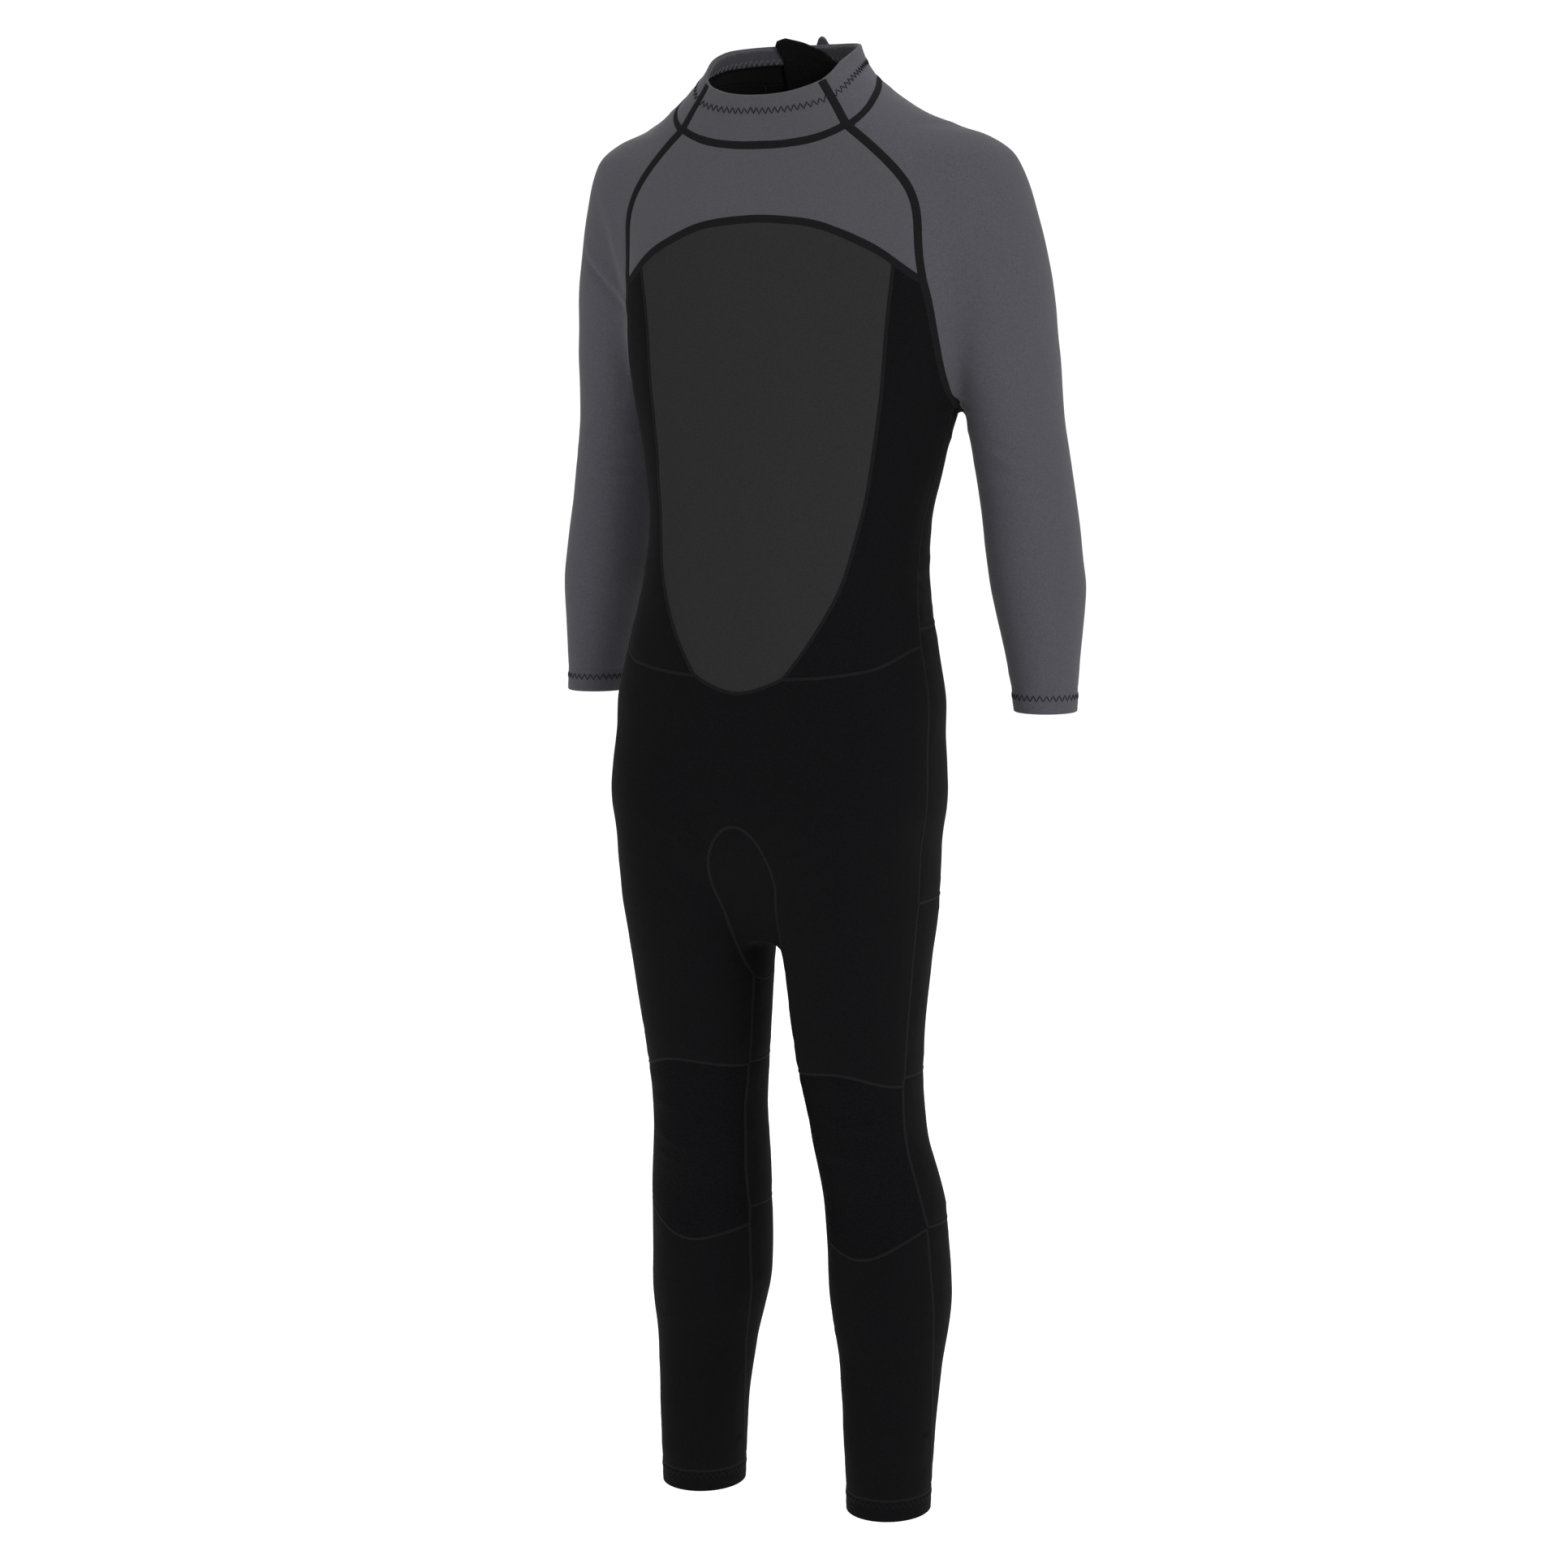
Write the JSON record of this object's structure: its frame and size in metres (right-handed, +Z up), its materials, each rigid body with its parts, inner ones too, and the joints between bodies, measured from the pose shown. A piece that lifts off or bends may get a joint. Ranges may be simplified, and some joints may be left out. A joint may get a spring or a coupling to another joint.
{
  "type": "full wetsuit",
  "caption": "Full-length back-zip wetsuit in grey and black neoprene, with raglan sleeves, chest panel, knee panels, sliding zip and a closing neck tab; elbows and knees bend.",
  "frame": {"origin": "middle of the neck opening", "axes": "+Z up along the body, -Y towards the front of the suit, +X towards the wearer's left"},
  "size_m": [0.567, 0.2552, 1.482],
  "materials": {
    "neoprene_grey": "matte knit-faced neoprene",
    "neoprene_charcoal": "fine mesh-faced neoprene",
    "neoprene_black": "matte knit-faced neoprene",
    "knee_abrasion": "abrasion-resistant knit",
    "flap_lining": "black plush lining",
    "hook_tab": "black hook tape on neoprene",
    "loop_pad": "black loop tape",
    "zip_tape": "woven tape",
    "zip_coil": "satin",
    "zip_metal": "satin",
    "puller_plastic": "satin"
  },
  "bodies": {
    "suit": {"collar_front": "neoprene_grey", "collar_side_left": "neoprene_grey", "collar_side_right": "neoprene_grey", "neck_binding": "neoprene_grey", "chest_yoke": "neoprene_grey", "chest_panel": "neoprene_charcoal", "side_panel_left": "neoprene_black", "side_panel_right": "neoprene_black", "back_panel_left": "neoprene_black", "back_panel_right": "neoprene_black", "lower_front": "neoprene_black", "seat_left": "neoprene_black", "seat_right": "neoprene_black", "crotch_gusset": "neoprene_black", "thigh_back_left": "neoprene_black", "thigh_back_right": "neoprene_black", "knee_panel_left": "knee_abrasion", "knee_panel_right": "knee_abrasion", "knee_back_left": "neoprene_black", "knee_back_right": "neoprene_black", "sleeve_left": "neoprene_grey", "sleeve_right": "neoprene_grey", "elbow_left": "neoprene_grey", "elbow_right": "neoprene_grey", "zip_tape_left": "zip_tape", "zip_tape_right": "zip_tape", "zip_coil_left": "zip_coil", "zip_coil_right": "zip_coil", "zip_stop_top": "zip_metal", "zip_stop_bottom": "zip_metal", "zip_patch": "neoprene_black", "zip_flap": "flap_lining", "tab_pad": "loop_pad"},
    "lower_leg_left": {"shin_left": "neoprene_black", "calf_left": "neoprene_black", "ankle_cuff_left": "neoprene_black"},
    "lower_leg_right": {"shin_right": "neoprene_black", "calf_right": "neoprene_black", "ankle_cuff_right": "neoprene_black"},
    "lower_arm_left": {"forearm_left": "neoprene_grey", "wrist_cuff_left": "neoprene_grey"},
    "lower_arm_right": {"forearm_right": "neoprene_grey", "wrist_cuff_right": "neoprene_grey"},
    "slider": {"zip_slider": "zip_metal", "puller_pin": "zip_metal"},
    "puller": {"zip_puller": "puller_plastic"},
    "tab": {"neck_tab": "hook_tab"}
  },
  "joints": [
    {"name": "elbow_bend_left", "type": "hinge", "parent": "suit", "child": "lower_arm_left", "pos_m": [0.222, 0.072, -0.388], "axis": [-1, 0, 0], "range_deg": [0, 80], "stiffness_Nm_per_rad": 0.5, "deforming": ["elbow_left"]},
    {"name": "elbow_bend_right", "type": "hinge", "parent": "suit", "child": "lower_arm_right", "pos_m": [-0.222, 0.072, -0.388], "axis": [-1, 0, 0], "range_deg": [0, 80], "stiffness_Nm_per_rad": 0.5, "deforming": ["elbow_right"]},
    {"name": "knee_bend_left", "type": "hinge", "parent": "suit", "child": "lower_leg_left", "pos_m": [0.091, 0.007, -1.057], "axis": [1, 0, 0], "range_deg": [0, 90], "stiffness_Nm_per_rad": 2, "deforming": ["knee_panel_left", "knee_back_left"]},
    {"name": "knee_bend_right", "type": "hinge", "parent": "suit", "child": "lower_leg_right", "pos_m": [-0.091, 0.007, -1.057], "axis": [1, 0, 0], "range_deg": [0, 90], "stiffness_Nm_per_rad": 2, "deforming": ["knee_panel_right", "knee_back_right"]},
    {"name": "zip_slide", "type": "slide", "parent": "suit", "child": "slider", "axis": [0, 0, -1], "range_m": [0, 0.403]},
    {"name": "puller_swing", "type": "hinge", "parent": "slider", "child": "puller", "pos_m": [0, 0.1149, -0.0493], "axis": [1, 0, 0], "range_deg": [0, 165]},
    {"name": "tab_open", "type": "hinge", "parent": "suit", "child": "tab", "pos_m": [0.034, 0.07791, 0.01458], "axis": [0, 0.5035, -0.864], "range_deg": [0, 120]}
  ]
}
